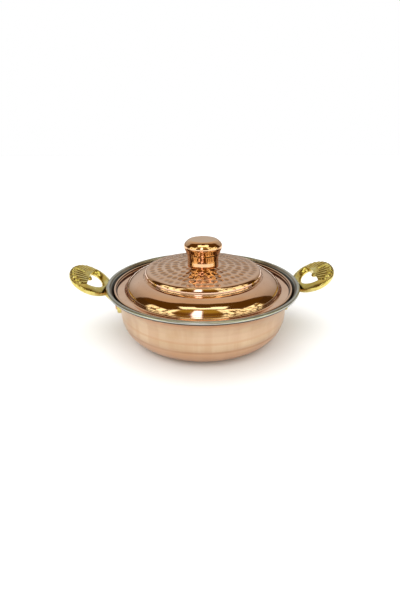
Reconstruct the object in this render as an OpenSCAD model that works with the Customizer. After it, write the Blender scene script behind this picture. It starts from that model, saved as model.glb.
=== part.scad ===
// Shallow two-handled copper pan with a domed lid.
// Frame: origin at the centre of the flat base, +Z up, handles along X. Millimetres.

/* [Pan] */
// Outside diameter of the tinned rim bead
rim_d = 200; // [180:1:220]
// Height of the rim's centre line above the base
rim_z = 56; // [52:1:64]
// Thickness of the beads that edge the pan, measured across the copper
rim_bead_d = 3.2; // [2.6:0.1:4]
// Diameter of the upright wall, at the middle of the sheet
wall_d = 172.8; // [160:0.2:176]
// Radius of the rounded corner between base and wall
corner_r = 27; // [20:1:30]
// Radius of the flare that runs from the wall out to the rim
flare_r = 30; // [26:1:36]
// Thickness of the pan's copper sheet
pan_sheet = 1.2; // [0.8:0.1:1.6]
// Thickness of the tin inside the pan
pan_tin = 0.3; // [0.2:0.05:0.4]

/* [Lid] */
// Diameter of the lid's edge bead, at its centre
lid_bead_cd = 183; // [178:0.5:184]
// Thickness of the lid's edge bead
lid_bead_d = 2.4; // [2:0.1:2.8]
// Height of the lid bead's centre above the base
lid_bead_z = 53.9; // [53.9:0.1:56]
// Diameter at the foot of the lid's dome
dome_d = 162; // [150:1:164]
// Width of the dome's rounded band
dome_band = 19.8; // [16:0.2:22]
// Height of the dome's rounded band
dome_h = 13; // [10:0.5:15]
// Diameter of the raised and hammered top
top_d = 115.2; // [100:0.2:120]
// Height of the step up to the hammered top
step_h = 6.7; // [4:0.1:8]
// Rise of the hammered top from its edge to the knob's seat
top_rise = 3.9; // [2:0.1:6]
// Thickness of the lid's copper sheet
lid_sheet = 0.8; // [0.6:0.1:1]
// Thickness of the tin under the lid
lid_tin = 0.25; // [0.15:0.05:0.3]

/* [Knob] */
// Largest diameter of the knob
knob_d = 39.6; // [36:0.2:44]
// Height of the knob above its seat
knob_h = 26.6; // [25:0.1:30]
// Height of the seam between the knob's two spun halves, above the seat
knob_seam_h = 12; // [11:0.1:14]
// Thickness of the knob's copper sheet
knob_sheet = 0.8; // [0.6:0.1:1]
// Diameter of the screw that holds the knob
screw_d = 5; // [4:0.5:6]

/* [Handles] */
// How far a handle's tip stands out from the pan's centre
handle_tip_r = 137.2; // [132:0.2:144]
// Radius at which the handle's loop meets the pan
handle_root_r = 101.3; // [100.6:0.1:102]
// Width of the loop between the centre lines of its two legs
loop_w = 48.4; // [44:0.2:54]
// Width of a leg, seen from above
leg_w = 10; // [7:0.2:11]
// Thickness of a leg, seen from the side
leg_t = 7.5; // [5:0.1:9]
// Width of the lug that carries the rivets
lug_w = 18; // [18:1:26]
// Diameter of a rivet's shank
rivet_d = 3.6; // [3:0.2:3.8]
// Diameter of a rivet's head
rivet_head_d = 6.6; // [5.4:0.2:7.4]
// Distance between a handle's two rivets
rivet_gap = 11; // [9:0.5:13]
// Height of the rivets above the base
rivet_z = 31; // [29:0.1:32]

/* [Motion] */
// How far the lid is lifted off the pan in this drawing
lid_lift = 0; // [0:1:120]

/* [Hidden] */
$fn = 96;

copper = [0.86, 0.58, 0.42];
polished_copper = [0.80, 0.52, 0.38];
tin = [0.72, 0.73, 0.70];
brass = [0.72, 0.62, 0.28];
steel = [0.62, 0.62, 0.64];

fit_gap = 0.02;             // bores and cut faces stand this far off what sits in them
arc_steps = 16;             // straight pieces in each long arc of a section
bead_steps = 28;            // straight pieces round an edge bead

// Pan section: the middle of the sheet, from the axis out to the rim bead
rim_bead_r = rim_bead_d / 2;
rim_cr = rim_d / 2 - rim_bead_r - pan_tin;
wall_r = wall_d / 2;
corner_c = [wall_r - corner_r, corner_r + pan_sheet / 2];
flare_end = acos(1 - (rim_cr - wall_r) / flare_r);
flare_c = [wall_r + flare_r, rim_z - flare_r * sin(flare_end)];

// Lid section: the middle of the sheet
lid_bead_r = lid_bead_d / 2;
lid_cr = lid_bead_cd / 2;
gutter_r = 1.6;             // bend that turns the lid's flat edge up to its bead
gutter_z = lid_bead_z - bead_reach(lid_bead_r, lid_sheet / 2) - gutter_r;
dome_r = dome_d / 2 - lid_sheet / 2;
dome_fillet = 1.4;
step_fillet = 0.8;
step_w = 2.8;
dome_c = [dome_r - dome_band, gutter_z];
top_r = top_d / 2;
step_z = gutter_z + dome_h + step_fillet;
top_edge_z = step_z + step_h - step_fillet;
seat_r = 18;
seat_z = top_edge_z + top_rise;
screw_hole_r = screw_d / 2 + 0.1;

// Knob
knob_z = seat_z + lid_sheet / 2;
knob_r = knob_d / 2;
cup_floor_z = knob_z + knob_sheet;
nut_h = 4;
nut_af = 8;                 // distance across the nut's flats
washer_r = 6;
washer_t = 1;
screw_head_r = 4.6;
screw_head_h = 2.6;
lid_under_z = seat_z - lid_sheet / 2 - lid_tin;

// Handle
loop_len = handle_tip_r - handle_root_r;
shell_edge_r = 3;           // rounding along the scallop's rim
shell_crown = 2;            // height of the scallop's middle above its rim
loop_steps = 48;
leg_sides = 12;
root_z = rim_z - 5.6;
rise = 0.6;                 // slope of the loop where it leaves the pan
droop = 0.0003;             // how fast that slope eases off
waist = 0.05;               // how much narrower the loop is at the pan than at its tip

// ---- section tools -------------------------------------------------------

// Points on an arc of radius r about c, from angle a0 to a1
function arc(c, r, a0, a1, n) =
    [for (i = [0:n]) c + r * [cos(a0 + (a1 - a0) * i / n), sin(a0 + (a1 - a0) * i / n)]];

// Points on an elliptic arc with half axes rx and ry
function oval(c, rx, ry, a0, a1, n) =
    [for (i = [0:n]) c + [rx * cos(a0 + (a1 - a0) * i / n), ry * sin(a0 + (a1 - a0) * i / n)]];

// Unit vector square to the path at point i, on its left
function left_of(p, i) =
    let (d = p[min(i + 1, len(p) - 1)] - p[max(i - 1, 0)])
    [-d[1], d[0]] / norm(d);

// The path moved sideways by d, to its left where d is positive
function beside(p, d) = [for (i = [0:len(p) - 1]) p[i] + d * left_of(p, i)];

function reversed(p) = [for (i = [len(p) - 1:-1:0]) p[i]];

// How far from a bead's centre a sheet of half thickness h meets the bead of radius r
function bead_reach(r, h) = sqrt(r * r - h * h);

// A smooth curve through the points, n pieces between each two
function smooth(p, n) =
    [for (i = [0:len(p) - 2], k = [0:n - 1])
        let (t = k / n, a = p[max(i - 1, 0)], b = p[i], c = p[i + 1], d = p[min(i + 2, len(p) - 1)])
        0.5 * (2 * b + (c - a) * t + (2 * a - 5 * b + 4 * c - d) * t * t
               + (3 * b - a - 3 * c + d) * t * t * t),
     p[len(p) - 1]];

// A sheet that follows path p from d0 to d1 beside it, revolved about Z
module spun_sheet(p, d0, d1) {
    rotate_extrude() polygon(concat(beside(p, d0), reversed(beside(p, d1))));
}

// ---- pan -----------------------------------------------------------------

// The flare stops where the sheet's face h from its middle runs into a bead of radius r
function pan_path(r, h) = concat(
    [[0, pan_sheet / 2], [corner_c[0] - 1, pan_sheet / 2]],
    arc(corner_c, corner_r, -90, 0, arc_steps),
    arc(flare_c, flare_r, 180, 180 - flare_end + bead_reach(r, h) / flare_r * 180 / PI, arc_steps));

// Angle, about the rim bead's centre, at which a face h from the sheet's middle joins the bead
function inner_join(r, h) = 270 - flare_end - asin(h / r);
function outer_join(r, h) = -90 - flare_end + asin(h / r);
rim_c = [rim_cr, rim_z];
tin_end = -60;              // the tin wraps over the bead down to this angle

module pan_shell() {
    h = pan_sheet / 2;
    p = pan_path(rim_bead_r, h);
    color(copper) difference() {
        rotate_extrude() polygon(concat(
            beside(p, -h),
            arc(rim_c, rim_bead_r, outer_join(rim_bead_r, h), inner_join(rim_bead_r, h), bead_steps),
            reversed(beside(p, h))));
        rivet_bores();
    }
}

module pan_tin_lining() {
    h = pan_sheet / 2;
    g = h + pan_tin;
    r = rim_bead_r + pan_tin;
    color(tin) difference() {
        rotate_extrude() polygon(concat(
            beside(pan_path(rim_bead_r, h), h),
            arc(rim_c, rim_bead_r, inner_join(rim_bead_r, h), tin_end, bead_steps),
            arc(rim_c, r, tin_end, inner_join(r, g), bead_steps),
            reversed(beside(pan_path(r, g), g))));
        rivet_bores();
    }
}

// Everything inside the pan's outer face, for cutting what is fastened to it
module pan_envelope() {
    h = pan_sheet / 2 + fit_gap;
    r = rim_bead_r + pan_tin + fit_gap;
    p = pan_path(r, h);
    rotate_extrude() polygon(concat(
        beside(p, -h), arc(rim_c, r, outer_join(r, h), 90, bead_steps), [[0, rim_z + r]]));
}

// ---- rivets --------------------------------------------------------------

lug_face_r = wall_r + pan_sheet / 2 + 4.6;
lining_r = wall_r - pan_sheet / 2 - pan_tin;

// Puts its children at a rivet: sx picks the right or left handle, sy the back or front rivet
module at_rivet(sx, sy) {
    rotate([0, 0, sx > 0 ? 0 : 180]) translate([0, sx * sy * rivet_gap / 2, rivet_z])
        rotate([0, 90, 0]) children();
}

module rivet_bores() {
    for (sx = [-1, 1], sy = [-1, 1])
        at_rivet(sx, sy) translate([0, 0, wall_r - 6])
            cylinder(d = rivet_d + 2 * fit_gap, h = 16);
}

// A low domed head that stands on z = 0
module rivet_head(height) {
    r = rivet_head_d / 2;
    ball_r = (r * r + height * height) / (2 * height);
    intersection() {
        translate([0, 0, height - ball_r]) sphere(r = ball_r);
        cylinder(r = r, h = height);
    }
}

module rivet(sx, sy) {
    sink = 1;               // how far the shank runs past each face into the heads
    color(copper) {
        at_rivet(sx, sy) translate([0, 0, lining_r - sink])
            cylinder(d = rivet_d, h = lug_face_r - lining_r + 2 * sink);
        at_rivet(sx, sy) translate([0, 0, lug_face_r]) rivet_head(1.8);
        intersection() {
            at_rivet(sx, sy) translate([0, 0, lining_r]) mirror([0, 0, 1]) rivet_head(2);
            cylinder(r = lining_r - 2 * fit_gap, h = rim_z);
        }
    }
}

// ---- handles -------------------------------------------------------------

function loop_z(s) = root_z + rise * s - droop * s * s;

// The loop's centre line: an oval, narrowed towards the pan and widened towards the tip
function loop_point(a) =
    let (half = (loop_len - leg_w / 2) / 2, s = half * (1 - cos(a)))
    [handle_root_r + s, loop_w / 2 * sin(a) * (1 - waist * cos(a)), loop_z(s)];

function unit(v) = v / norm(v);

// Ring of points round the leg at angle a along the loop
function leg_ring(a) =
    let (p = loop_point(a),
         along = unit(loop_point(a + 1) - loop_point(a - 1)),
         tilt = atan(rise - 2 * droop * (p[0] - handle_root_r)),
         out = unit(cross(along, [-sin(tilt), 0, cos(tilt)])),
         up = cross(out, along))
    [for (k = [0:leg_sides - 1])
        let (b = 360 * (k + 0.5) / leg_sides)
        p + out * leg_w / 2 * cos(b) + up * leg_t / 2 * sin(b)];

module handle_loop() {
    n = loop_steps;
    m = leg_sides;
    points = [for (i = [0:n - 1]) each leg_ring(360 * i / n)];
    faces = [for (i = [0:n - 1], k = [0:m - 1])
        let (a = i * m + k, b = i * m + (k + 1) % m,
             c = ((i + 1) % n) * m + (k + 1) % m, d = ((i + 1) % n) * m + k)
        each [[a, b, c], [a, c, d]]];
    polyhedron(points = points, faces = faces);
}

// The scallop at the loop's tip, without its ribs
module handle_scallop() {
    depth = 14;
    half_w = 17.5;
    start = loop_len - shell_edge_r - depth;
    hull() {
        for (a = [-90:30:90]) {
            s = start + depth * cos(a);
            translate([handle_root_r + s, half_w * sin(a), loop_z(s)]) sphere(r = shell_edge_r, $fn = 16);
        }
        translate([handle_root_r + start + 5, 0, loop_z(start + 5) + shell_crown])
            sphere(r = shell_edge_r, $fn = 16);
    }
}

// The bracket from the loop's root down to the foot that lies on the wall
module handle_lug() {
    foot_r = wall_r + pan_sheet / 2;
    foot_z = rivet_z - lug_w / 2;
    intersection() {
        rotate([90, 0, 0]) translate([0, 0, -lug_w / 2]) linear_extrude(lug_w) polygon([
            [foot_r - 1, foot_z], [lug_face_r, foot_z], [lug_face_r, rivet_z + 4],
            [foot_r + 8.4, rivet_z + 7], [foot_r + 12.4, rivet_z + 12.4],
            [handle_root_r + 2.4, root_z - 0.5], [handle_root_r + 2.4, root_z + 1.5],
            [handle_root_r - 2.2, root_z + 0.4], [foot_r + 9.4, root_z - 2.2],
            [foot_r + 5.6, root_z - 7.8], [foot_r + 2, rivet_z + 7.2], [foot_r - 1, rivet_z + 5.6]]);
        translate([0, 0, rivet_z]) rotate([0, 90, 0]) linear_extrude(handle_tip_r) union() {
            circle(d = lug_w);
            translate([-rim_z, -lug_w / 2]) square([rim_z, lug_w]);
        }
    }
}

module handle(sx) {
    color(brass) difference() {
        rotate([0, 0, sx > 0 ? 0 : 180]) {
            handle_loop();
            handle_scallop();
            difference() {
                handle_lug();
                pan_envelope();
            }
        }
        rivet_bores();
    }
}

// ---- lid -----------------------------------------------------------------

lid_path = concat(
    [[screw_hole_r, seat_z]],
    [[seat_r, seat_z]],
    [[seat_r + (top_r - seat_r) * 0.5, seat_z - top_rise * 0.42]],
    oval([top_r, step_z], step_w, step_h - step_fillet, 90, 0, 10),
    arc([top_r + step_w + step_fillet, step_z], step_fillet, 180, 270, 4),
    oval(dome_c, dome_band, dome_h, 88, asin(dome_fillet / dome_h), arc_steps + 4),
    arc([dome_r + dome_fillet, gutter_z + dome_fillet], dome_fillet, 180, 270, 5),
    arc([lid_cr - gutter_r, gutter_z + gutter_r], gutter_r, -90, 0, 8));

module lid_shell() {
    h = lid_sheet / 2;
    join = asin(h / lid_bead_r);
    color(polished_copper) rotate_extrude() polygon(concat(
        beside(lid_path, -h),
        arc([lid_cr, lid_bead_z], lid_bead_r, -90 + join, 270 - join, bead_steps),
        reversed(beside(lid_path, h))));
}

module lid_tin_lining() {
    h = lid_sheet / 2;
    under = [for (i = [0:len(lid_path) - 3]) lid_path[i]];
    color(tin) spun_sheet(under, -h, -h - lid_tin);
}

// ---- knob ----------------------------------------------------------------

// Outer face of the lower half: its floor, the rounded foot, the collar, the waist and the rise to the seam
knob_base_path = concat(
    [[screw_hole_r, knob_z], [knob_r - 6, knob_z]],
    arc([knob_r - 4.7, knob_z + 1.2], 1.2, -90, -18, 5),
    knob_curve([[3.5, 1.5], [3.65, 2.8], [3.85, 5.3], [3.7, 7.8], [3.25, 10.3], [2.75, knob_seam_h]]));

// Outer face of the upper half, from the seam over the shoulder to the flat top
knob_cap_path = concat(
    knob_curve([[2.75, knob_seam_h], [2.05, knob_h - 12.8], [1.2, knob_h - 10.6], [0.3, knob_h - 8.5],
                [0, knob_h - 6.8], [0.2, knob_h - 5.4], [1, knob_h - 3.9], [2.3, knob_h - 2.5],
                [3.8, knob_h - 1.2], [5.4, knob_h - 0.3], [6.8, knob_h]]),
    [[1, knob_z + knob_h], [0, knob_z + knob_h]]);

// A smooth curve through points given as depth in from the knob's largest radius, and height above its seat
function knob_curve(p) = smooth([for (q = p) [knob_r - q[0], knob_z + q[1]]], 4);

module knob_base() {
    color(polished_copper) intersection() {
        spun_sheet(knob_base_path, 0, knob_sheet);
        translate([0, 0, knob_z]) cylinder(r = knob_r, h = knob_seam_h);
    }
}

module knob_cap() {
    color(polished_copper) intersection() {
        spun_sheet(knob_cap_path, 0, knob_sheet);
        translate([0, 0, knob_z + knob_seam_h]) cylinder(r = knob_r + 1, h = knob_h);
    }
}

module knob_nut() {
    color(steel) translate([0, 0, cup_floor_z]) difference() {
        cylinder(d = nut_af / cos(30), h = nut_h, $fn = 6);
        translate([0, 0, -1]) cylinder(d = screw_d + 2 * fit_gap, h = nut_h + 2);
    }
}

module knob_washer() {
    color(steel) translate([0, 0, lid_under_z - washer_t]) difference() {
        cylinder(r = washer_r, h = washer_t);
        translate([0, 0, -1]) cylinder(r = screw_hole_r, h = washer_t + 2);
    }
}

// A slotted round head under the washer, and a shank up through the nut
module knob_screw() {
    head_z = lid_under_z - washer_t;
    slot_w = 1.2;
    slot_depth = 1.1;
    color(steel) {
        difference() {
            translate([0, 0, head_z - screw_head_h])
                cylinder(r1 = screw_head_r - 1.2, r2 = screw_head_r, h = screw_head_h);
            translate([-screw_head_r, -slot_w / 2, head_z - screw_head_h - 1])
                cube([2 * screw_head_r, slot_w, slot_depth + 1]);
        }
        translate([0, 0, head_z]) cylinder(d = screw_d, h = cup_floor_z + nut_h + 1.5 - head_z);
    }
}

// ---- assembly ------------------------------------------------------------

module lifted() {
    translate([0, 0, lid_lift]) children();
}

pan_shell();
pan_tin_lining();
handle(-1);  // handle_left
handle(1);  // handle_right
rivet(-1, -1);  // rivet_left_front
rivet(-1, 1);  // rivet_left_back
rivet(1, -1);  // rivet_right_front
rivet(1, 1);  // rivet_right_back
lifted() lid_shell();
lifted() lid_tin_lining();
lifted() knob_base();
lifted() knob_cap();
lifted() knob_screw();
lifted() knob_washer();
lifted() knob_nut();
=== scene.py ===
"""A two-handled copper pan with a domed, hammered lid and a spun knob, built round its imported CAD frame.

Sizes are in millimetres until mesh_object() turns them into metres. Sections are (radius, height) points.
"""
import math

import bpy
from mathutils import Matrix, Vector, noise


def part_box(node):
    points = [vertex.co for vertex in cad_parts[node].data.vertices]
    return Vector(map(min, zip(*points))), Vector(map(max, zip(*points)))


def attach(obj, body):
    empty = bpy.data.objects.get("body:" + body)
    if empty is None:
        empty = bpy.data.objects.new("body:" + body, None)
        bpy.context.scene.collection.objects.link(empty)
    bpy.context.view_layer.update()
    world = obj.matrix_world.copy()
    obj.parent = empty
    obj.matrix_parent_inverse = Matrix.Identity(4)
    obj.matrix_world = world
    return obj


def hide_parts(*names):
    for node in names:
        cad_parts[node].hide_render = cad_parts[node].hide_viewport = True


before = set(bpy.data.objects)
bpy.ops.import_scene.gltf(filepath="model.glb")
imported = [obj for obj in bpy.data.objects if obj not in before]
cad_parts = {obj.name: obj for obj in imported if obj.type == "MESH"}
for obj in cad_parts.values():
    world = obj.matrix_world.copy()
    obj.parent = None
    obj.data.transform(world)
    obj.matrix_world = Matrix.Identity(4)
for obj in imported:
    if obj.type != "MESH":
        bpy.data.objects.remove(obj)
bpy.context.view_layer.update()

MM = 0.001
TAU = 2 * math.pi
DEGREES = 180 / math.pi

# ---------------------------------------------------------------- dimensions

def top_of(node):
    """The CAD node's highest point."""
    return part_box(node)[1][2] / MM


def bottom_of(node):
    """The CAD node's lowest point."""
    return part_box(node)[0][2] / MM


def radius_of(node):
    """How far the CAD node reaches along +X."""
    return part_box(node)[1][0] / MM


# the pan
PAN_SHEET = 1.2
PAN_TIN = 0.3
RIM_BEAD_R = 1.6
RIM_CR = radius_of("pan_tin_lining") - RIM_BEAD_R - PAN_TIN     # middle of the rim's bead
RIM_Z = top_of("pan_tin_lining") - RIM_BEAD_R - PAN_TIN
RIM_C = (RIM_CR, RIM_Z)
WALL_R = 86.4               # middle of the wall's sheet
WALL_OUT = WALL_R + PAN_SHEET / 2
CORNER_R = 27
CORNER_C = (WALL_R - CORNER_R, CORNER_R + PAN_SHEET / 2)
FLARE_R = 30
# the angle that the flare turns through before the rim
FLARE_END = math.degrees(math.acos(1 - (RIM_CR - WALL_R) / FLARE_R))
FLARE_C = (WALL_R + FLARE_R, RIM_Z - FLARE_R * math.sin(math.radians(FLARE_END)))
TIN_END = -60               # the tin wraps over the rim's bead down to this angle
TIN_INSET = 0.03            # keeps the hammered tin inside the CAD's box
GROOVES = ((19.8, 0.28), (29.4, 0.12))      # (height, depth) of the grooves that spinning left in the wall
GROOVE_W = 0.9

# the lid
LID_SHEET = 0.8
LID_TIN = 0.25
LID_BEAD_R = 1.2
LID_CR = radius_of("lid_shell") - LID_BEAD_R
LID_BEAD_Z = 53.9
GUTTER_R = 1.6              # where the flat brim turns up into the bead
DOME_R = 80.6
DOME_BAND = 19.8            # the dome band's width and height
DOME_H = 13
DOME_FILLET = 2.4
STEP_W = 2.8
STEP_H = 6.7
STEP_FILLET = 1.5
TOP_R = 57.6                # radius of the hammered top
SEAT_R = 18                 # radius of the flat seat under the knob
SCREW_HOLE_R = 2.6
SEAT_Z = bottom_of("knob_base") - LID_SHEET / 2

DIMPLE_RINGS = 5
DIMPLE_PITCH = 7.8          # between rings
DIMPLE_SPACING = DIMPLE_PITCH * 0.84        # between marks in a ring
DIMPLE_FIRST_R = 21.6
DIMPLE_R = 3.5              # half a mark's size across its ring
DIMPLE_ALONG = 0.92         # its size along the ring, as a share of that
DIMPLE_DEPTH = 0.6
OUTER_RING_DEPTH = 0.6      # the outer ring's depth, as a share of the others'
STRAY_ACROSS = 1.3          # how far a mark strays from its ring
STRAY_ALONG = 0.34          # and along it, as a share of the spacing
SIZE_SPREAD = 0.28
DEPTH_SPREAD = 0.5
DENTS = "dents"             # attribute: how deep each point of the lid lies in a mark, 0 to 1

# the knob
KNOB_SHEET = 0.8
KNOB_R = radius_of("knob_cap")
KNOB_Z = bottom_of("knob_base")
KNOB_TOP = top_of("knob_cap")
SEAM_Z = bottom_of("knob_cap")
KNOB_FOOT_R = KNOB_R - 4.7
KNOB_FOOT_FILLET = 1.2
KNOB_TOP_R = KNOB_R - 8     # radius of the flat on top
# (depth in from KNOB_R, height) of the waist above KNOB_Z, and of the crown above KNOB_TOP
KNOB_WAIST = [(3.5, 1.5), (3.65, 2.8), (3.85, 5.3), (3.7, 7.8), (3.25, 10.3), (2.75, SEAM_Z - KNOB_Z)]
KNOB_CROWN = [(2.75, SEAM_Z - KNOB_TOP), (2.05, -12.8), (1.2, -10.6), (0.3, -8.5), (0, -6.8), (0.2, -5.4),
              (1, -3.9), (2.3, -2.5), (3.8, -1.2), (5.4, -0.3), (6.8, 0)]

# the handles. A point of the loop and its scallop is s out from the loop's root
HANDLE_ROOT_R = 101.3
HANDLE_TIP_R = radius_of("handle_right")
LOOP_W = 46.6               # between the middles of the legs, which are thicker inwards than the CAD's
LEG_W = 11.8
LEG_T = 7.5
ROOT_Z = RIM_Z - 5.6
RISE = 0.6                  # slope at the root
DROOP = 0.0003              # half of what the slope loses in each millimetre outwards
WAIST = 0.05                # share by which the loop widens towards its tip and narrows towards its root
LOOP_LEN = HANDLE_TIP_R - HANDLE_ROOT_R
LOOP_HALF = (LOOP_LEN - LEG_W / 2) / 2
DRAWN_W = 10                # LEG_SECTION is (across, up), drawn for a leg this wide and thick
DRAWN_T = 7.5
LEG_SECTION = [(-4.8, 1.2), (-3.0, 2.3), (-0.5, 3.3), (1.3, 3.75), (2.2, 3.3), (3.8, 1.6), (5.0, -0.6),
               (4.2, -2.4), (2.2, -3.6), (-2.2, -3.7), (-4.4, -2.2), (-5.0, -0.2)]

SHELL_S = 18.6              # where the scallop's hinge is
SHELL_LEN = LOOP_LEN - SHELL_S - 0.9
SHELL_HALF_W = 25.6
SHELL_SWEEP = 96            # degrees that the scallop fans out to each side
SHELL_DOME = 5.2            # its height above the loop's middle, at the hinge
SHELL_BELLY = 2.6           # its depth below the loop's middle
RIB_FOCUS = 20              # how far behind the hinge the ribs fan out from
RIB_TURN = 8.4              # degrees from one rib to the next
RIB_DEPTH = 1.3
RIB_NOTCH = 0.045           # how far the grooves cut into the scallop's edge, as a share of its radius
TONGUE_LEN = 4.4            # half sizes of the knuckle at the hinge
TONGUE_W = 3.8
TONGUE_H = 2.6

LUG_FACE_R = WALL_OUT + 4.6
# ((inner radius, height), (outer radius, height), half width) up the lug, from its foot to the loop's root
LUG_STATIONS = [
    ((WALL_OUT, 22.0), (LUG_FACE_R - 0.6, 22.0), 2.6),
    ((WALL_OUT, 22.6), (LUG_FACE_R - 0.1, 22.6), 4.6),
    ((WALL_OUT, 24.2), (LUG_FACE_R, 24.2), 6.8),
    ((WALL_OUT, 26.6), (LUG_FACE_R, 26.6), 8.3),
    ((WALL_OUT, 31.0), (LUG_FACE_R, 31.0), 9.0),
    ((WALL_OUT, 35.2), (LUG_FACE_R + 0.7, 34.8), 8.8),
    ((WALL_OUT + 1.9, 38.4), (LUG_FACE_R + 4.9, 37.6), 8.6),
    ((WALL_OUT + 5.3, 42.6), (LUG_FACE_R + 9.0, 42.2), 8.8),
    ((WALL_OUT + 8.6, 47.4), (LUG_FACE_R + 12.0, 46.8), 9.8),
    ((WALL_OUT + 11.2, 50.6), (LUG_FACE_R + 12.6, 50.4), 11),
]

# the rivets
RIVET_Z = (top_of("rivet_right_back") + bottom_of("rivet_right_back")) / 2
RIVET_GAP = 11
# how far out the inner head's foot lies, on the tin
RIVET_IN_R = math.sqrt((WALL_R - PAN_SHEET / 2 - PAN_TIN) ** 2 - (RIVET_GAP / 2) ** 2)
RIVET_HEAD_R = 3.3
RIVET_HEAD_IN = 1.5         # heights of the two heads
RIVET_HEAD_OUT = 1.7
RIVET_SHANK_R = 1.8
RIVET_SINK = 0.4            # how far the shank's ends lie from the heads' feet

# numbers of faces
AROUND = 600
AROUND_LINING = 300
AROUND_KNOB = 160
AROUND_LOOP = 120
AROUND_RIVET = 48
SHELL_STEPS = 240           # from one end of the scallop's fan to the other
VOXEL = 0.42                # size of the cells that fuse a handle into one casting

# ---------------------------------------------------------------- section tools

def arc(c, r, a0, a1, n, ry=None):
    """Points on an arc, or on an oval where ry is given, from angle a0 to a1 in degrees."""
    ry = r if ry is None else ry
    angles = [math.radians(a0 + (a1 - a0) * i / n) for i in range(n + 1)]
    return [(c[0] + r * math.cos(a), c[1] + ry * math.sin(a)) for a in angles]


def line(a, b, n):
    """Points from a towards b, without b."""
    return [(a[0] + (b[0] - a[0]) * i / n, a[1] + (b[1] - a[1]) * i / n) for i in range(n)]


def beside(path, d):
    """The path moved sideways by d, to its left where d is positive."""
    out = []
    for i, p in enumerate(path):
        a = path[max(i - 1, 0)]
        b = path[min(i + 1, len(path) - 1)]
        dx, dz = b[0] - a[0], b[1] - a[1]
        length = math.hypot(dx, dz)
        out.append((p[0] - d * dz / length, p[1] + d * dx / length))
    return out


def smooth(points, n):
    """A smooth curve through the points, n pieces between each two."""
    out = []
    last = len(points) - 1
    for i in range(last):
        a, b, c, d = (points[min(max(k, 0), last)] for k in (i - 1, i, i + 1, i + 2))
        for k in range(n):
            t = k / n
            out.append(tuple(
                0.5 * (2 * q + (r - p) * t + (2 * p - 5 * q + 4 * r - s) * t * t
                       + (3 * q - p - 3 * r + s) * t ** 3)
                for p, q, r, s in zip(a, b, c, d)))
    out.append(points[last])
    return out


def closed_curve(points, n):
    """A smooth closed curve through the points, n pieces between each two."""
    count = len(points)
    out = []
    for i in range(count):
        span = [points[(i + k) % count] for k in (-1, 0, 1, 2)]
        out += smooth(span, n)[n:2 * n]
    return out


def ends_on_axis(section):
    """The section with its first and last points moved to the Z axis."""
    return [(0, section[0][1])] + section[1:-1] + [(0, section[-1][1])]


def reach(r, h):
    """How far from a bead's centre a sheet of half thickness h meets the bead of radius r."""
    return math.sqrt(r * r - h * h)


def fade(x, low, high):
    """0 below low, 1 above high, and smooth between."""
    t = min(max((x - low) / (high - low), 0), 1)
    return t * t * (3 - 2 * t)


def rough(x, y, z, scale):
    """Smooth noise from -1 to 1 with features about scale millimetres across."""
    return noise.noise(Vector((x / scale, y / scale, z / scale)))


def beaten(depth, size, seed):
    """A function that gives the depth of shallow, uneven hammering at (r, z, angle)."""
    def shift(r, z, a, amount=1.0):
        x, y = r * math.cos(a), r * math.sin(a)
        return amount * depth * (rough(x + seed, y, z * 0.6, size) + 0.5 * rough(x, y + seed, z, size * 0.45))
    return shift

# ---------------------------------------------------------------- mesh tools

def mesh_object(name, verts, faces):
    """A smooth-shaded object from points in millimetres."""
    mesh = bpy.data.meshes.new(name)
    mesh.from_pydata([tuple(c * MM for c in v) for v in verts], [], faces)
    mesh.update()
    mesh.shade_smooth()
    obj = bpy.data.objects.new(name, mesh)
    bpy.context.scene.collection.objects.link(obj)
    return obj


def lathe(name, section, around, closed, move=None):
    """Turns a section about Z.

    move(index, r, z, angle) gives a point's new (r, z). Points on the axis stay.
    """
    verts = []
    rings = []
    for i, (r, z) in enumerate(section):
        if r < 1e-6:
            rings.append([len(verts)])
            verts.append((0, 0, z))
            continue
        rings.append(list(range(len(verts), len(verts) + around)))
        for k in range(around):
            a = TAU * k / around
            rr, zz = move(i, r, z, a) if move else (r, z)
            verts.append((rr * math.cos(a), rr * math.sin(a), zz))
    faces = []
    pairs = list(zip(rings, rings[1:]))
    if closed:
        pairs.append((rings[-1], rings[0]))
    for low, high in pairs:
        for k in range(around):
            n = (k + 1) % around
            if len(low) == 1:
                faces.append((low[0], high[n], high[k]))
            elif len(high) == 1:
                faces.append((low[k], low[n], high[0]))
            else:
                faces.append((low[k], low[n], high[n], high[k]))
    return mesh_object(name, verts, faces)


def skin(rings, closed):
    """Points and faces of rings of equal length, with flat caps where the rings don't close on themselves."""
    size = len(rings[0])
    verts = [tuple(p) for ring in rings for p in ring]
    faces = []
    count = len(rings)
    for i in range(count if closed else count - 1):
        j = (i + 1) % count
        for k in range(size):
            n = (k + 1) % size
            faces.append((i * size + k, i * size + n, j * size + n, j * size + k))
    if not closed:
        faces.append(tuple(range(size))[::-1])
        faces.append(tuple((count - 1) * size + k for k in range(size)))
    return verts, faces

# ---------------------------------------------------------------- node tools

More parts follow.
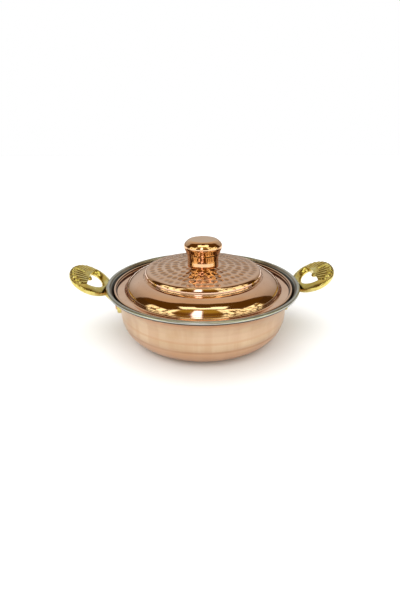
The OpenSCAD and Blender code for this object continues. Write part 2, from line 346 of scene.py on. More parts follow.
class Nodes:
    """A short way to write a node tree. Values are numbers, sockets or, in mix() and ramp(), colours."""

    def __init__(self, tree):
        self.tree = tree
        tree.nodes.clear()

    def add(self, kind, **values):
        """A new node with some of its properties set."""
        node = self.tree.nodes.new(kind)
        for key, value in values.items():
            setattr(node, key, value)
        return node

    def link(self, a, b):
        self.tree.links.new(a, b)

    def feed(self, socket, value):
        """Links the value to the socket where it is a socket, and else sets it there."""
        if isinstance(value, bpy.types.NodeSocket):
            self.link(value, socket)
        else:
            socket.default_value = value

    def math(self, operation, *values):
        node = self.add("ShaderNodeMath", operation=operation)
        for socket, value in zip(node.inputs, values):
            self.feed(socket, value)
        return node.outputs[0]

    def plus(self, a, b):
        return self.math("ADD", a, b)

    def minus(self, a, b):
        return self.math("SUBTRACT", a, b)

    def times(self, a, b):
        return self.math("MULTIPLY", a, b)

    def absolute(self, a):
        return self.math("ABSOLUTE", a)

    def split(self, vector):
        """The vector's x, y and z."""
        node = self.add("ShaderNodeSeparateXYZ")
        self.link(vector, node.inputs[0])
        return tuple(node.outputs)

    def join(self, x, y, z=0.0):
        node = self.add("ShaderNodeCombineXYZ")
        for socket, value in zip(node.inputs, (x, y, z)):
            self.feed(socket, value)
        return node.outputs[0]

    def noise(self, scale, vector, detail=3.0):
        node = self.add("ShaderNodeTexNoise")
        self.link(vector, node.inputs["Vector"])
        node.inputs["Scale"].default_value = scale
        node.inputs["Detail"].default_value = detail
        node.inputs["Roughness"].default_value = 0.55
        return node.outputs["Fac"]

    def ramp(self, fac, stops):
        """A colour or value ramp from (position, colour or value) stops."""
        node = self.add("ShaderNodeValToRGB")
        self.link(fac, node.inputs["Fac"])
        elements = node.color_ramp.elements
        while len(elements) < len(stops):
            elements.new(0.5)
        for element, (position, value) in zip(elements, stops):
            element.position = position
            element.color = (*value, 1) if isinstance(value, tuple) else (value, value, value, 1)
        return node.outputs["Color"]

    def mix(self, fac, a, b):
        node = self.add("ShaderNodeMix", data_type="RGBA")
        self.feed(node.inputs[0], fac)
        for socket, value in zip(node.inputs[6:8], (a, b)):
            self.feed(socket, (*value, 1) if isinstance(value, tuple) else value)
        return node.outputs[2]


class Surface(Nodes):
    """A material with one principled shader, placed by the object's own coordinates in metres."""

    def __init__(self, name):
        self.material = bpy.data.materials.new(name)
        self.material.use_nodes = True
        super().__init__(self.material.node_tree)
        self.shader = self.add("ShaderNodeBsdfPrincipled")
        self.link(self.shader.outputs["BSDF"], self.add("ShaderNodeOutputMaterial").inputs["Surface"])
        self.point = self.add("ShaderNodeTexCoord").outputs["Object"]

    def grain(self, scale, detail=3.0):
        """Noise that runs the same way in every direction."""
        return self.noise(scale, self.point, detail)

    def turned(self, scale, around, detail, across=1.0):
        """Noise drawn out into marks that run round the Z axis, the longer the smaller around is."""
        x, y, z = self.split(self.point)
        turn = self.absolute(self.times(self.math("ARCTAN2", y, x), around))
        vector = self.join(self.times(self.radius(), across), self.times(z, across), turn)
        return self.noise(scale, vector, detail)

    def radius(self):
        """Distance from the Z axis."""
        x, y, _ = self.split(self.point)
        return self.math("SQRT", self.plus(self.times(x, x), self.times(y, y)))

    def height(self):
        """Height above the floor."""
        return self.split(self.point)[2]

    def near(self, value, middle, width):
        """1 where the value is at the middle, 0 from width away, in millimetres."""
        away = self.absolute(self.minus(value, middle * MM))
        return self.ramp(self.times(away, 1 / (width * MM)), [(0.5, 1.0), (1.0, 0.0)])

    def past(self, value, limit, width):
        """0 up to the limit, 1 from width past it, in millimetres."""
        return self.ramp(self.times(self.minus(value, limit * MM), 1 / MM), [(0.0, 0.0), (width, 1.0)])

    def edges(self, stops):
        """A ramp over how far the surface stands out: 0.5 on flats, more on edges, less in hollows."""
        return self.ramp(self.add("ShaderNodeNewGeometry").outputs["Pointiness"], stops)

    def bump(self, height, distance, strength, normal=None):
        node = self.add("ShaderNodeBump")
        self.link(height, node.inputs["Height"])
        node.inputs["Distance"].default_value = distance
        node.inputs["Strength"].default_value = strength
        if normal:
            self.link(normal, node.inputs["Normal"])
        return node.outputs[0]

    def finish(self, color, roughness, normal=None, metallic=1.0):
        """Feeds the shader and gives the finished material."""
        self.feed(self.shader.inputs["Base Color"], color)
        self.feed(self.shader.inputs["Roughness"], roughness)
        self.shader.inputs["Metallic"].default_value = metallic
        if normal:
            self.link(normal, self.shader.inputs["Normal"])
        return self.material

# ---------------------------------------------------------------- materials

# linear colours, and ramps of them as (position, colour)
LID_TONES = ((0.80, 0.49, 0.33), (0.90, 0.60, 0.43))        # darker, brighter
KNOB_TONES = ((0.84, 0.50, 0.26), (0.90, 0.57, 0.35))
COPPER_SPOT = (0.42, 0.22, 0.13)
COPPER_DENT_SHADE = (0.40, 0.21, 0.10)
GUTTER_SHADE = (0.09, 0.045, 0.022)
SEAM_SHADE = (0.03, 0.012, 0.006)
COPPER_SATIN = [(0.32, (0.56, 0.39, 0.235)), (0.52, (0.635, 0.46, 0.30)), (0.70, (0.69, 0.52, 0.35))]
COPPER_STREAK = (0.56, 0.35, 0.215)
COPPER_PINK_AND_SHADE = (0.69, 0.395, 0.225)
COPPER_GROOVE_SHADE = (0.50, 0.27, 0.15)
COPPER_RING = (0.64, 0.44, 0.31)
COPPER_EDGE = (0.92, 0.64, 0.47)
TIN_CLOUD = [(0.30, (0.44, 0.45, 0.42)), (0.55, (0.60, 0.61, 0.58)), (0.75, (0.72, 0.72, 0.69))]
TIN_SCRATCH = (0.40, 0.40, 0.36)
TIN_GAP_SHADE = (0.018, 0.017, 0.013)
TIN_UNDERSIDE_SHADE = (0.025, 0.02, 0.015)
BRASS_CLOUD = [(0.32, (0.58, 0.44, 0.10)), (0.50, (0.75, 0.62, 0.19)), (0.70, (0.85, 0.76, 0.34))]
BRASS_HOLLOW_SHADE = (0.13, 0.08, 0.01)
BRASS_EDGE_HIGHLIGHT = (0.97, 0.90, 0.55)


def polished_copper(name, tones, painted_shade):
    """Mirror-bright copper in two tones. The third argument adds one piece's painted shade: darker marks
    where shade falls.
    """
    m = Surface(name)
    darker, brighter = tones
    tint = m.ramp(m.grain(22, 4), [(0.35, darker), (0.62, brighter)])
    spots = m.ramp(m.grain(420, 1), [(0.70, 0.0), (0.78, 1.0)])
    color = painted_shade(m, m.mix(m.times(spots, 0.45), tint, COPPER_SPOT))
    marks = m.turned(900, 0.004, 2)
    haze = m.grain(60, 5)
    roughness = m.plus(0.03, m.times(haze, 0.07))
    roughness = m.plus(roughness, m.times(marks, 0.03))
    normal = m.bump(m.grain(2600, 2), 0.000005, 0.25, m.bump(marks, 0.00001, 0.3))
    return m.finish(color, roughness, normal)


def lid_painted_shade(m, color):
    """Painted shade on the lid: darker copper in the hammer marks, and a dark line in the gutter under the
    bead.
    """
    dents = m.add("ShaderNodeAttribute", attribute_name=DENTS).outputs["Fac"]
    # painted shade: the deeper a point lies in a hammer mark, the darker its copper
    color = m.mix(m.ramp(dents, [(0.1, 0.0), (0.6, 0.75)]), color, COPPER_DENT_SHADE)
    # painted shade: a dark line in the gutter where the brim turns up into the bead
    return m.mix(m.near(m.radius(), LID_CR - GUTTER_R, 1.0), color, GUTTER_SHADE)


def knob_painted_shade(m, color):
    """Painted shade in the open seam: a dark line, fainter on the -X half."""
    gape = m.ramp(m.times(m.split(m.point)[0], 1 / (12 * MM)), [(0.0, 0.35), (0.3, 1.0)])
    return m.mix(m.times(m.near(m.height(), SEAM_Z + 0.25, 0.75), gape), color, SEAM_SHADE)


def satin_copper(name):
    """Brushed copper that turns pinker below the ring where the wall was spun over the corner, with painted
    shade just under the rim and along the spun grooves.
    """
    m = Surface(name)
    height = m.height()
    cloud = m.grain(26, 5)
    color = m.ramp(cloud, COPPER_SATIN)
    streaks = m.turned(1.0, 7.5, 3, across=9)
    color = m.mix(m.ramp(streaks, [(0.42, 0.55), (0.56, 0.0)]), color, COPPER_STREAK)
    # pinker below about 20 mm; the thin line near 29 mm is painted shade at the upper groove, and the band
    # from 43 mm up is painted shade under the rim's bead
    pink_and_shade = m.ramp(m.times(height, 1 / (60 * MM)),       # over the lowest 60 mm
                  [(0.0, 0.75), (0.30, 0.55), (0.345, 0.0), (0.47, 0.0), (0.49, 0.22), (0.52, 0.0),
                   (0.72, 0.0), (0.86, 0.9)])
    color = m.mix(pink_and_shade, color, COPPER_PINK_AND_SHADE)
    # painted shade: each spun groove is darkened in proportion to its depth
    for at, depth in GROOVES:
        color = m.mix(m.times(m.near(height, at, 1.5), 2.7 * depth), color, COPPER_GROOVE_SHADE)
    rings = m.turned(190, 0.01, 3)
    color = m.mix(m.ramp(rings, [(0.40, 0.40), (0.60, 0.0)]), color, COPPER_RING)
    normal = m.bump(m.turned(1500, 0.01, 2), 0.00002, 0.5, m.bump(rings, 0.00006, 0.5))
    return m.finish(color, m.plus(0.26, m.times(cloud, 0.14)), normal)


def dull_copper(name):
    """Unpolished copper for the rivets, bright where their edges are rubbed."""
    m = Surface(name)
    grime = m.grain(300, 4)
    tint = m.ramp(grime, [(0.35, (0.52, 0.28, 0.17)), (0.65, (0.82, 0.52, 0.36))])
    color = m.mix(m.edges([(0.5, 0.0), (0.56, 1.0)]), tint, COPPER_EDGE)
    return m.finish(color, m.plus(0.25, m.times(grime, 0.3)), m.bump(grime, 0.00005, 0.6))


def wiped_tin(name):
    """Cloudy hand-wiped tin, with painted shade, nearly black, in the gap just inside the rim where the lid
    sits, and on the underside of the rim's bead.
    """
    m = Surface(name)
    cloud = m.grain(34, 6)
    wipe = m.turned(260, 0.03, 4)
    color = m.ramp(cloud, TIN_CLOUD)
    color = m.mix(m.ramp(wipe, [(0.38, 0.35), (0.6, 0.0)]), color, TIN_SCRATCH)
    # painted shade: a nearly black ring just inside the rim, in the gap under the lid's bead
    gap_shade = m.near(m.radius(), RIM_CR - RIM_BEAD_R - 2.7, 2.2)
    color = m.mix(m.times(gap_shade, 0.97), color, TIN_GAP_SHADE)
    # painted shade on the underside of the rim's bead, outside its middle and below it
    outside = m.past(m.radius(), RIM_CR, 0.4)
    under = m.past(m.times(m.height(), -1), -RIM_Z, 0.5)
    color = m.mix(m.times(outside, under), color, TIN_UNDERSIDE_SHADE)
    normal = m.bump(m.grain(700), 0.00001, 0.3, m.bump(wipe, 0.00003, 0.4))
    return m.finish(color, m.plus(0.22, m.times(wipe, 0.22)), normal)


def cast_brass(name):
    """Hand-polished brass castings, with painted highlights on their edges and painted shade in the scallop's
    grooves.
    """
    m = Surface(name)
    cloud = m.grain(110, 5)
    color = m.ramp(cloud, BRASS_CLOUD)
    # painted shade in the hollows, found by pointiness
    hollow_shade = m.edges([(0.42, 1.0), (0.495, 0.0)])
    color = m.mix(m.times(hollow_shade, 0.68), color, BRASS_HOLLOW_SHADE)
    # painted highlight on the edges and crests
    edge = m.edges([(0.51, 0.0), (0.58, 1.0)])
    color = m.mix(m.times(edge, 0.75), color, BRASS_EDGE_HIGHLIGHT)
    normal = m.bump(m.grain(900, 4), 0.00004, 0.5, m.bump(cloud, 0.0003, 0.4))
    return m.finish(color, m.plus(0.10, m.times(cloud, 0.22)), normal)


def plated_steel(name):
    """Dull grey plating with fine turning marks, for the screw, the washer and the nut."""
    m = Surface(name)
    cloud = m.grain(500, 4)
    tint = m.ramp(cloud, [(0.35, (0.42, 0.42, 0.43)), (0.65, (0.66, 0.66, 0.68))])
    normal = m.bump(m.turned(3000, 0.01, 2), 0.00001, 0.5)
    return m.finish(tint, m.plus(0.25, m.times(cloud, 0.2)), normal)


MATERIALS = {
    "pan_copper": satin_copper("satin_copper"),
    "lid_copper": polished_copper("polished_copper", LID_TONES, lid_painted_shade),
    "knob_copper": polished_copper("knob_copper", KNOB_TONES, knob_painted_shade),
    "rivet_copper": dull_copper("dull_copper"),
    "cast_brass": cast_brass("cast_brass"),
    "tin": wiped_tin("wiped_tin"),
    "plated_steel": plated_steel("plated_steel"),
}


def place(obj, body, material, *nodes):
    """Gives a piece its material, its body and the CAD nodes that it stands for."""
    obj.data.materials.append(MATERIALS[material])
    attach(obj, body)
    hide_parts(*nodes)


def plate(node):
    """Gives a CAD node that stays visible its plated steel."""
    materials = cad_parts[node].data.materials
    materials.clear()
    materials.append(MATERIALS["plated_steel"])

# ---------------------------------------------------------------- pan

def pan_path(r, h):
    """The middle of the pan's sheet, up to where its face h from the middle runs into a bead of radius r."""
    flare = 180 - FLARE_END + math.degrees(reach(r, h) / FLARE_R)
    corner = arc(CORNER_C, CORNER_R, -90, 0, 24)
    bend = arc(FLARE_C, FLARE_R, 180, flare, 24)
    return line((0, PAN_SHEET / 2), corner[0], 12) + corner[:-1] + line(corner[-1], bend[0], 4) + bend


def inner_join(r, h):
    """The angle at which the sheet's inner face, h from its middle, meets a bead of radius r."""
    return 270 - FLARE_END - math.degrees(math.asin(h / r))


def outer_join(r, h):
    """The same for the outer face."""
    return -90 - FLARE_END + math.degrees(math.asin(h / r))


def pan_surface(first_still):
    """Moves the outer face by turned rings, soft hammer marks and the grooves.

    Points from first_still on, which are the bead and the inner face, stay.
    """
    hammer = beaten(0.16, 17, 40)

    def move(i, r, z, a):
        if i >= first_still:
            return r, z
        on_wall = fade(z, 1.5, 9) * (1 - fade(z, 44, 52))       # not on the base, nor near the rim
        ring = 0.05 * math.sin(z * 1.15) + 0.035 * math.sin(z * 2.3 + 1)
        groove = sum(depth * math.exp(-((z - at) / GROOVE_W) ** 2) for at, depth in GROOVES)
        return r + on_wall * (hammer(r, z, a) + ring - 0.06) - groove, z
    return move


def build_pan():
    """The spun copper pan, from the middle of its base out, over the rim's bead and back inside."""
    h = PAN_SHEET / 2
    path = pan_path(RIM_BEAD_R, h)
    outer = beside(path, -h)
    bead = arc(RIM_C, RIM_BEAD_R, outer_join(RIM_BEAD_R, h), inner_join(RIM_BEAD_R, h), 24)
    inner = beside(path, h)[::-1]
    section = ends_on_axis(outer + bead + inner)
    pan = lathe("pan_body", section, AROUND, False, pan_surface(len(outer)))
    place(pan, "pan", "pan_copper", "pan_shell")


def build_pan_lining():
    """The tin on the pan's inner face, round the rim's bead and a little way down outside it."""
    h = PAN_SHEET / 2
    g = h + PAN_TIN
    r = RIM_BEAD_R + PAN_TIN
    under = beside(pan_path(RIM_BEAD_R, h), h)
    under += arc(RIM_C, RIM_BEAD_R, inner_join(RIM_BEAD_R, h), TIN_END, 24)
    over = arc(RIM_C, r, TIN_END, inner_join(r, g), 24) + beside(pan_path(r, g), g)[::-1]
    section = ends_on_axis(under + over)
    first_over = len(under)
    last_moved = len(section) - 3
    tinned = beaten(0.10, 9, 12)

    def move(i, r, z, a):
        if first_over <= i <= last_moved:
            return r - TIN_INSET, z - 0.05 + tinned(r, z, a, 0.5)
        return r, z
    place(lathe("pan_lining", section, AROUND_LINING, False, move), "pan", "tin", "pan_tin_lining")

# ---------------------------------------------------------------- lid

GUTTER_Z = LID_BEAD_Z - reach(LID_BEAD_R, LID_SHEET / 2) - GUTTER_R
STEP_Z = GUTTER_Z + DOME_H + STEP_FILLET
TOP_EDGE_Z = STEP_Z + STEP_H - STEP_FILLET


def lid_path():
    """The middle of the lid's sheet, from the screw hole out to the bead."""
    crown = smooth([(SEAT_R, SEAT_Z), ((SEAT_R + TOP_R) / 2, SEAT_Z - (SEAT_Z - TOP_EDGE_Z) * 0.42),
                    (TOP_R, TOP_EDGE_Z)], 36)
    band_foot = math.degrees(math.asin(DOME_FILLET / DOME_H))
    return (line((SCREW_HOLE_R, SEAT_Z), (SEAT_R, SEAT_Z), 8) + crown[:-1]
            + arc((TOP_R, STEP_Z), STEP_W, 90, 0, 14, STEP_H - STEP_FILLET)
            + arc((TOP_R + STEP_W + STEP_FILLET, STEP_Z), STEP_FILLET, 180, 270, 9)[1:]
            + arc((DOME_R - DOME_BAND, GUTTER_Z), DOME_BAND, 87, band_foot, 32, DOME_H)
            + arc((DOME_R + DOME_FILLET, GUTTER_Z + DOME_FILLET), DOME_FILLET, 180, 270, 12)[1:]
            + line((DOME_R + DOME_FILLET + 0.5, GUTTER_Z), (LID_CR - GUTTER_R, GUTTER_Z), 6)
            + arc((LID_CR - GUTTER_R, GUTTER_Z + GUTTER_R), GUTTER_R, -90, 0, 8))


def dimples():
    """(radius, angle, size, depth) of each hammer mark, ring by ring."""
    marks = []
    for k in range(DIMPLE_RINGS):
        ring_r = DIMPLE_FIRST_R + k * DIMPLE_PITCH
        count = round(TAU * ring_r / DIMPLE_SPACING)
        share = OUTER_RING_DEPTH if k == DIMPLE_RINGS - 1 else 1
        for j in range(count):
            across, along, wider, deeper = (rough(ring_r, j * 7.3, q * 11.1, 3.1) for q in range(4))
            marks.append((ring_r + STRAY_ACROSS * across,
                          TAU * (j + 0.5 * (k % 2) + STRAY_ALONG * along) / count,
                          DIMPLE_R * (1 + SIZE_SPREAD * wider),
                          DIMPLE_DEPTH * (1 + DEPTH_SPREAD * deeper) * share))
    return marks


def dimple_field():
    """Depth of the hammering at (radius, angle), looked up by ring so that it stays quick."""
    rings = {}
    for mark in dimples():
        rings.setdefault(round((mark[0] - DIMPLE_FIRST_R) / DIMPLE_PITCH), []).append(mark)

    def depth(r, a):
        deepest = 0.0
        near = (r - DIMPLE_FIRST_R) / DIMPLE_PITCH
        for k in {math.floor(near), math.ceil(near)}:
            for ring_r, angle, size, dent in rings.get(k, []):
                u = (r - ring_r) / size
                if abs(u) > 1:
                    continue
                turn = (a - angle + math.pi) % TAU - math.pi
                v = turn * r / (size * DIMPLE_ALONG)
                q = u * u + v * v
                if q < 1:
                    deepest = max(deepest, dent * (1 - q))
        return deepest
    return depth


def on_hammered_top(r):
    """Whether the lid is hammered at the radius, which is between the knob's seat and the step."""
    return SEAT_R + 0.5 < r < TOP_R - 1


def note_dents(cover, depth):
    """Writes how deep each point lies in a hammer mark, for the material."""
    dents = cover.data.attributes.new(DENTS, "FLOAT", "POINT")
    for v in cover.data.vertices:
        x, y, z = v.co / MM
        r = math.hypot(x, y)
        if on_hammered_top(r):
            dents.data[v.index].value = min(depth(r, math.atan2(y, x)) / DIMPLE_DEPTH, 1)


def build_lid():
    """The spun copper lid, from the screw hole out, round its bead and back."""
    h = LID_SHEET / 2
    path = lid_path()
    join = math.degrees(math.asin(h / LID_BEAD_R))
    under = beside(path, -h)
    bead = arc((LID_CR, LID_BEAD_Z), LID_BEAD_R, -90 + join, 270 - join, 20)
    section = under + bead + beside(path, h)[::-1]
    first_over = len(under) + len(bead)
    depth = dimple_field()
    soft = beaten(0.07, 14, 5)

    def move(i, r, z, a):
        """Hammer marks on the top, and a faint unevenness outside it, on the upper face only."""
        if i < first_over:
            return r, z
        if on_hammered_top(r):
            return r, z - depth(r, a)
        if r > TOP_R:
            return r + 0.4 * soft(r, z, a), z + soft(r, z, a, 0.6)
        return r, z
    cover = lathe("lid_cover", section, AROUND, True, move)
    note_dents(cover, depth)
    place(cover, "lid", "lid_copper", "lid_shell")


def build_lid_lining():
    """The tin under the lid, which ends a little below the bead."""
    h = LID_SHEET / 2
    path = lid_path()[:-3]      # the last points run into the bead
    section = beside(path, -h) + beside(path, -h - LID_TIN)[::-1]
    place(lathe("lid_lining", section, AROUND_LINING, True), "lid", "tin", "lid_tin_lining")

# ---------------------------------------------------------------- knob

def knob_curve(points, low):
    """A smooth curve through (depth in from the knob's largest radius, height above low) points."""
    return smooth([(KNOB_R - d, low + h) for d, h in points], 7)


def shut(section, low, high):
    """The section with nothing below low or above high."""
    return [(r, min(max(z, low), high)) for r, z in section]


def build_knob_lower():
    """The knob's spun lower half: a flat foot, a small round and the waist up to the seam."""
    outer = (line((SCREW_HOLE_R, KNOB_Z), (KNOB_FOOT_R, KNOB_Z), 8)
             + arc((KNOB_FOOT_R, KNOB_Z + KNOB_FOOT_FILLET), KNOB_FOOT_FILLET, -90, -18, 7)
             + knob_curve(KNOB_WAIST, KNOB_Z))
    section = shut(outer + beside(outer, KNOB_SHEET)[::-1], KNOB_Z, SEAM_Z)
    place(lathe("knob_lower", section, AROUND_KNOB, True), "lid", "knob_copper", "knob_base")


def build_knob_upper():
    """The knob's spun upper half: a crown from the seam to the flat top."""
    over = knob_curve(KNOB_CROWN, KNOB_TOP)
    over += line((KNOB_TOP_R, KNOB_TOP), (0, KNOB_TOP), 12)[:-1] + [(0, KNOB_TOP)]
    under = beside(over, KNOB_SHEET)[::-1]
    section = shut(ends_on_axis(under + over), SEAM_Z, KNOB_TOP)

    def gape(i, r, z, a):
        """The seam stands open, and wider on one side."""
        if abs(z - SEAM_Z) < 0.02:
            return r, z + 0.06 + 0.45 * fade(math.cos(a + 1.0), 0.1, 0.95)
        return r, z
    place(lathe("knob_upper", section, AROUND_KNOB, False, gape), "lid", "knob_copper", "knob_cap")

# ---------------------------------------------------------------- handles

def loop_z(s):
    """Height of the loop's middle, s out from its root."""
    return ROOT_Z + RISE * s - DROOP * s * s


def loop_up(s):
    """Square to the loop's surface there."""
    tilt = math.atan(RISE - 2 * DROOP * s)
    return Vector((-math.sin(tilt), 0, math.cos(tilt)))


def loop_point(a):
    """The loop's middle, from its root at angle 0 to its tip at pi."""
    s = LOOP_HALF * (1 - math.cos(a))
    return Vector((HANDLE_ROOT_R + s, LOOP_W / 2 * math.sin(a) * (1 - WAIST * math.cos(a)), loop_z(s)))


def loop_mesh():
    """The loop, swept round its whole outline, and lower where the scallop's ribs stand clear of it."""
    rings = []
    section = closed_curve(LEG_SECTION, 3)
    for i in range(AROUND_LOOP):
        a = TAU * i / AROUND_LOOP
        along = (loop_point(a + 0.01) - loop_point(a - 0.01)).normalized()
        p = loop_point(a)
        s = p.x - HANDLE_ROOT_R
        out = along.cross(loop_up(s)).normalized()
        up = out.cross(along)
        swell = 1 + 0.03 * rough(p.x, p.y, p.z, 9)
        above = 1 - 0.35 * fade(s, SHELL_S - 3, SHELL_S + 7)
        below = 1.12
        rings.append([p + out * q * swell * LEG_W / DRAWN_W
                      + up * w * swell * (above if w > 0 else below) * LEG_T / DRAWN_T for q, w in section])
    return skin(rings, True)


def groove_at(s, y):
    """0 on a rib's crest and 1 at the bottom of the groove beside it."""
    turn = math.degrees(math.atan2(y, max(s - SHELL_S + RIB_FOCUS, 1))) / RIB_TURN
    return abs(2 * (turn % 1) - 1)


def shell_point(u, radius, angle, on_top):
    """The scallop's upper or lower face, the share u of the way out to its edge."""
    s = SHELL_S + u * radius * math.cos(angle)
    y = u * radius * math.sin(angle)
    swell = math.sqrt(1 - u ** 9)
    if on_top:
        h = (SHELL_DOME - 0.7 * u) * swell + 0.25 - RIB_DEPTH * groove_at(s, y) ** 3 * fade(u, 0.12, 0.4)
    else:
        h = -SHELL_BELLY * swell
    return Vector((HANDLE_ROOT_R + s, y, loop_z(s))) + loop_up(s) * h


def shell_mesh():
    """The ribbed scallop on the loop's tip, as a closed solid."""
    rings = []
    shares = [0.02, 0.06] + [0.1 + 0.04 * k for k in range(22)] + [0.975, 0.995]
    for i in range(SHELL_STEPS + 1):
        angle = math.radians(-SHELL_SWEEP + 2 * SHELL_SWEEP * i / SHELL_STEPS)
        oval = 1 / math.hypot(math.cos(angle) / SHELL_LEN, math.sin(angle) / SHELL_HALF_W)
        groove = groove_at(SHELL_S + oval * math.cos(angle), oval * math.sin(angle))
        radius = oval * (1.012 - RIB_NOTCH * groove ** 2)
        rings.append([shell_point(u, radius, angle, True) for u in shares]
                     + [shell_point(u, radius, angle, False) for u in shares[::-1]])
    return skin(rings, False)


def tongue_mesh(side):
    """The knuckle at the scallop's hinge, a little to one side, which pokes into the opening."""
    rings = []
    for i in range(1, 12):
        b = math.pi * i / 12
        ring = []
        for k in range(24):
            c = TAU * k / 24
            s = SHELL_S + 0.6 - TONGUE_LEN * math.cos(b)
            y = side * 2.2 + TONGUE_W * math.sin(b) * math.cos(c)
            up = TONGUE_H * math.sin(b) * math.sin(c)
            ring.append(Vector((HANDLE_ROOT_R + s, y, loop_z(s))) + loop_up(s) * (up + 1.4))
        rings.append(ring)
    return skin(rings, False)


def lug_mesh():
    """The bracket from the loop's root down to the foot that is riveted to the wall and fits round it."""
    stations = smooth([(*inner, *outer, half_w) for inner, outer, half_w in LUG_STATIONS], 4)
    across = 12
    rings = []
    for inner_r, inner_z, outer_r, outer_z, half_w in stations:
        ring = []
        for k in range(across + 1):
            t = 2 * k / across - 1
            ring.append((outer_r + 0.5 * (1 - t * t) - 0.7 * t ** 6, t * half_w, outer_z))
        for k in range(across, -1, -1):
            y = (2 * k / across - 1) * half_w
            ring.append((inner_r - (WALL_OUT - math.sqrt(WALL_OUT ** 2 - y * y)), y, inner_z))
        rings.append(ring)
    return skin(rings, False)


def fuse(obj):
    """Turns overlapping closed meshes into one casting with soft edges, and applies the result."""
    remesh = obj.modifiers.new("fuse", "REMESH")
    remesh.mode = "VOXEL"
    remesh.voxel_size = VOXEL * MM
    soften = obj.modifiers.new("soften", "SMOOTH")
    soften.factor = 0.5
    soften.iterations = 2
    depsgraph = bpy.context.evaluated_depsgraph_get()
    mesh = bpy.data.meshes.new_from_object(obj.evaluated_get(depsgraph))
    obj.modifiers.clear()
    obj.data = mesh
    mesh.shade_smooth()


def build_handle(side, side_x):
    """One casting. The left one is the right one turned half round the Z axis, but for its tongue."""
    verts = []
    faces = []
    for some_verts, some_faces in (loop_mesh(), shell_mesh(), tongue_mesh(-side_x), lug_mesh()):
        offset = len(verts)
        verts += [(side_x * x, side_x * y, z) for x, y, z in some_verts]
        faces += [tuple(i + offset for i in face) for face in some_faces]
    casting = mesh_object(f"handle_casting_{side}", verts, faces)
    fuse(casting)
    place(casting, "pan", "cast_brass", f"handle_{side}")

# ---------------------------------------------------------------- rivets

def rivet_head(base, height):
    """A head's section, from its edge on the plane base to its tip."""
    angles = [math.radians(90 * k / 10) for k in range(11)]
    return [(RIVET_HEAD_R * math.cos(b), base + height * math.sin(b) ** 0.9) for b in angles]


def build_rivet(end, side_x, side_y):
    """A rivet along X: a hammered head inside the pan, and one outside on the lug."""
    inside = rivet_head(RIVET_IN_R, -RIVET_HEAD_IN)[::-1]
    shank = [(RIVET_SHANK_R, RIVET_IN_R + RIVET_SINK), (RIVET_SHANK_R, LUG_FACE_R - RIVET_SINK)]
    section = ends_on_axis(inside + shank + rivet_head(LUG_FACE_R, RIVET_HEAD_OUT))
    middle = (RIVET_IN_R + LUG_FACE_R) / 2
    dents = beaten(0.16, 1.8, 7 * side_x + 3 * side_y)
    seed = side_x * 5 + side_y * 9

    def move(i, r, z, a):
        """Uneven heads: wider and narrower by rough noise, and dented on their faces."""
        x, y = r * math.cos(a), r * math.sin(a)
        return r * (1 + 0.03 * rough(x, y, seed, 1.5)), z + dents(r, 0, a) * (1 if z > middle else -1)
    rivet = lathe(f"rivet_head_{end}", section, AROUND_RIVET, False, move)
    for v in rivet.data.vertices:
        x, y, z = v.co
        v.co = (side_x * z, side_y * RIVET_GAP / 2 * MM + side_x * y, RIVET_Z * MM - x)
    place(rivet, "pan", "rivet_copper", f"rivet_{end}")

# ---------------------------------------------------------------- floor, light and camera

def build_floor():
    """A pale matt floor, far wider than the camera sees."""
    m = Surface("pale_floor")
    tint = m.ramp(m.grain(3), [(0.3, (0.82, 0.82, 0.82)), (0.7, (0.85, 0.85, 0.85))])
    side = 4000
    corners = [(-side, -side, 0), (side, -side, 0), (side, side, 0), (-side, side, 0)]
    floor = mesh_object("floor", corners, [(0, 1, 2, 3)])
    floor.data.materials.append(m.finish(tint, 0.7, metallic=0.0))


class Room(Nodes):
    """The room that the metal mirrors, as colours by direction.

    turn is the direction's angle round Z in degrees: 0 towards -Y, where the camera is, and 90 towards +X.
    rise is its angle above the floor in degrees. x, y and z are the direction's own parts, from -1 to 1.
    """

    def __init__(self, tree):
        super().__init__(tree)
        self.direction = self.add("ShaderNodeTexCoord").outputs["Generated"]
        self.x, self.y, self.z = self.split(self.direction)
        self.across = self.absolute(self.x)
        self.turn = self.times(self.math("ARCTAN2", self.x, self.times(self.y, -1)), DEGREES)
        self.side = self.absolute(self.turn)
        self.rise = self.times(self.math("ARCSINE", self.z), DEGREES)

    def step(self, value, low, high):
        """0 below low, 1 above high, and smooth between."""
        node = self.add("ShaderNodeMapRange", interpolation_type="SMOOTHSTEP")
        self.link(value, node.inputs["Value"])
        node.inputs["From Min"].default_value = low
        node.inputs["From Max"].default_value = high
        return node.outputs[0]

    def band(self, value, low, high, soft):
        """1 between low and high, with edges that reach soft to each side."""
        return self.times(self.step(value, low - soft, low + soft),
                          self.minus(1.0, self.step(value, high - soft, high + soft)))

    def background(self, color):
        node = self.add("ShaderNodeBackground")
        self.feed(node.inputs[0], color)
        return node.outputs[0]


def room_walls(w):
    """Dark wood, with slanting pale streaks in a window to each side, and a darker half behind the pan."""
    wood = w.ramp(w.noise(3.5, w.direction),
                  [(0.35, (0.05, 0.022, 0.003)), (0.50, (0.20, 0.115, 0.012)), (0.62, (0.42, 0.27, 0.03))])
    slant = w.plus(w.times(w.rise, 0.045), w.times(w.side, 0.05))
    streaks = w.ramp(w.noise(1.0, w.join(w.times(w.turn, 0.13), slant)), [(0.44, 0.0), (0.47, 1.0)])
    windows = w.times(w.band(w.side, 27, 88, 3), w.band(w.rise, -14, 62, 3))
    color = w.mix(w.times(windows, streaks), wood, (1.7, 1.75, 1.15))
    return w.mix(w.band(w.side, 90, 200, 3), color, (0.07, 0.035, 0.008))


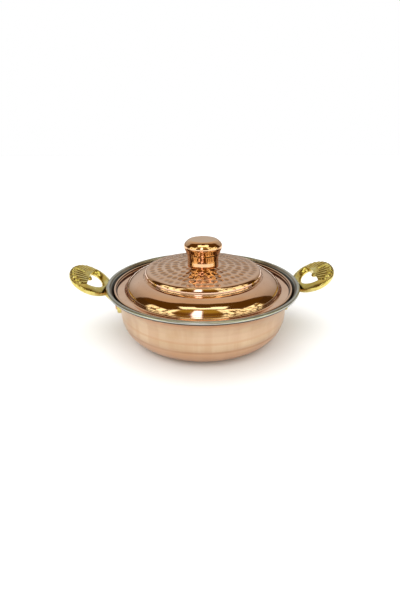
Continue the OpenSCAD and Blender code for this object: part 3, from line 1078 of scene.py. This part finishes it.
def room_front(w, color):
    """A dark panel on the camera's side, paler towards its top, with one tall white lamp."""
    panel = w.times(w.band(w.turn, -45, 25, 2.5), w.band(w.rise, -4, 66, 3))
    shade = w.ramp(w.times(w.rise, 1 / 60),
                   [(0.0, (0.16, 0.075, 0.006)), (0.5, (0.18, 0.09, 0.012)), (0.75, (0.40, 0.27, 0.03)),
                    (1.0, (0.42, 0.29, 0.04))])
    color = w.mix(panel, color, shade)
    lamp = w.times(w.band(w.turn, -19, -5, 2), w.band(w.rise, 14, 58, 3))
    return w.mix(lamp, color, (2.6, 2.6, 2.9))


def room_ceiling(w, color):
    """A dark ceiling with a pale pane, which has a notch in the middle of its far edge."""
    above = w.step(w.z, 0.55, 0.6)
    color = w.mix(w.times(w.band(w.y, -0.42, 0.6, 0.02), above), color, (0.10, 0.045, 0.005))
    pane = w.times(w.band(w.y, -0.34, -0.10, 0.012), w.band(w.across, -1, 0.36, 0.02))
    notch = w.times(w.band(w.y, -0.19, 0.5, 0.01), w.band(w.across, -1, 0.12, 0.02))
    pane = w.times(pane, w.minus(1.0, notch))
    return w.mix(w.times(pane, above), color, (1.9, 1.95, 1.35))


def room_backdrop(w, color):
    """The pale backdrop behind the pan, duller to the sides, by its angle above the floor in radians."""
    paper = w.ramp(w.math("ARCSINE", w.z),
                   [(0.06, (0.12, 0.08, 0.04)), (0.15, (0.50, 0.50, 0.48)), (0.35, (0.60, 0.61, 0.59)),
                    (0.75, (0.60, 0.56, 0.47)), (1.0, (0.62, 0.50, 0.34))])
    paper = w.mix(w.step(w.across, 0.35, 0.95), paper, (0.34, 0.29, 0.21))
    edge = w.minus(w.y, w.times(w.step(w.across, 0.35, 0.6), 0.14))
    return w.mix(w.step(edge, 0.25, 0.29), color, paper)


def build_world():
    """Only reflections see the room. The camera and the light on matt surfaces see plain white."""
    world = bpy.data.worlds.new("room")
    bpy.context.scene.world = world
    world.use_nodes = True
    w = Room(world.node_tree)
    color = room_backdrop(w, room_ceiling(w, room_front(w, room_walls(w))))
    rays = w.add("ShaderNodeLightPath").outputs
    choose = w.add("ShaderNodeMixShader")
    w.link(w.math("MAXIMUM", rays["Is Camera Ray"], rays["Is Diffuse Ray"]), choose.inputs[0])
    w.link(w.background(color), choose.inputs[1])
    w.link(w.background((1, 1, 1, 1)), choose.inputs[2])
    w.link(choose.outputs[0], w.add("ShaderNodeOutputWorld").inputs[0])


def build_sun():
    """Even light for the floor, which the polished metal doesn't mirror."""
    data = bpy.data.lights.new("daylight", "SUN")
    data.energy = 1.8
    data.angle = math.radians(70)
    sun = bpy.data.objects.new("daylight", data)
    sun.rotation_euler = (math.radians(14), math.radians(-10), 0)
    sun.visible_glossy = False
    bpy.context.scene.collection.objects.link(sun)


def build_camera():
    """Looks at the middle of the rim from 0.4 m away, a little to the left of square on."""
    distance = 0.400
    elevation = math.radians(20.8)
    azimuth = math.radians(-2.7)
    target = Vector((0, 0, RIM_Z * MM))
    back = Vector((math.sin(azimuth) * math.cos(elevation), -math.cos(azimuth) * math.cos(elevation),
                   math.sin(elevation)))
    data = bpy.data.cameras.new("camera")
    data.sensor_fit = "HORIZONTAL"
    data.sensor_width = 36
    data.lens = 33.93
    data.shift_x = -0.0077
    data.shift_y = -0.0473
    data.clip_start = 0.01
    camera = bpy.data.objects.new("camera", data)
    camera.location = target + back * distance
    camera.rotation_euler = (-back).to_track_quat("-Z", "Y").to_euler()
    bpy.context.scene.collection.objects.link(camera)
    bpy.context.scene.camera = camera

# ---------------------------------------------------------------- the whole scene

SIDES = (("right", 1), ("left", -1))
ENDS = (("front", -1), ("back", 1))

build_pan()
build_pan_lining()
build_lid()
build_lid_lining()
build_knob_lower()
build_knob_upper()
for side, side_x in SIDES:
    build_handle(side, side_x)
for node in ("knob_screw", "knob_washer", "knob_nut"):
    plate(node)
for side, side_x in SIDES:
    for end, side_y in ENDS:
        build_rivet(f"{side}_{end}", side_x, side_y)

build_floor()
build_world()
build_sun()
build_camera()
bpy.context.scene.view_settings.view_transform = "Standard"
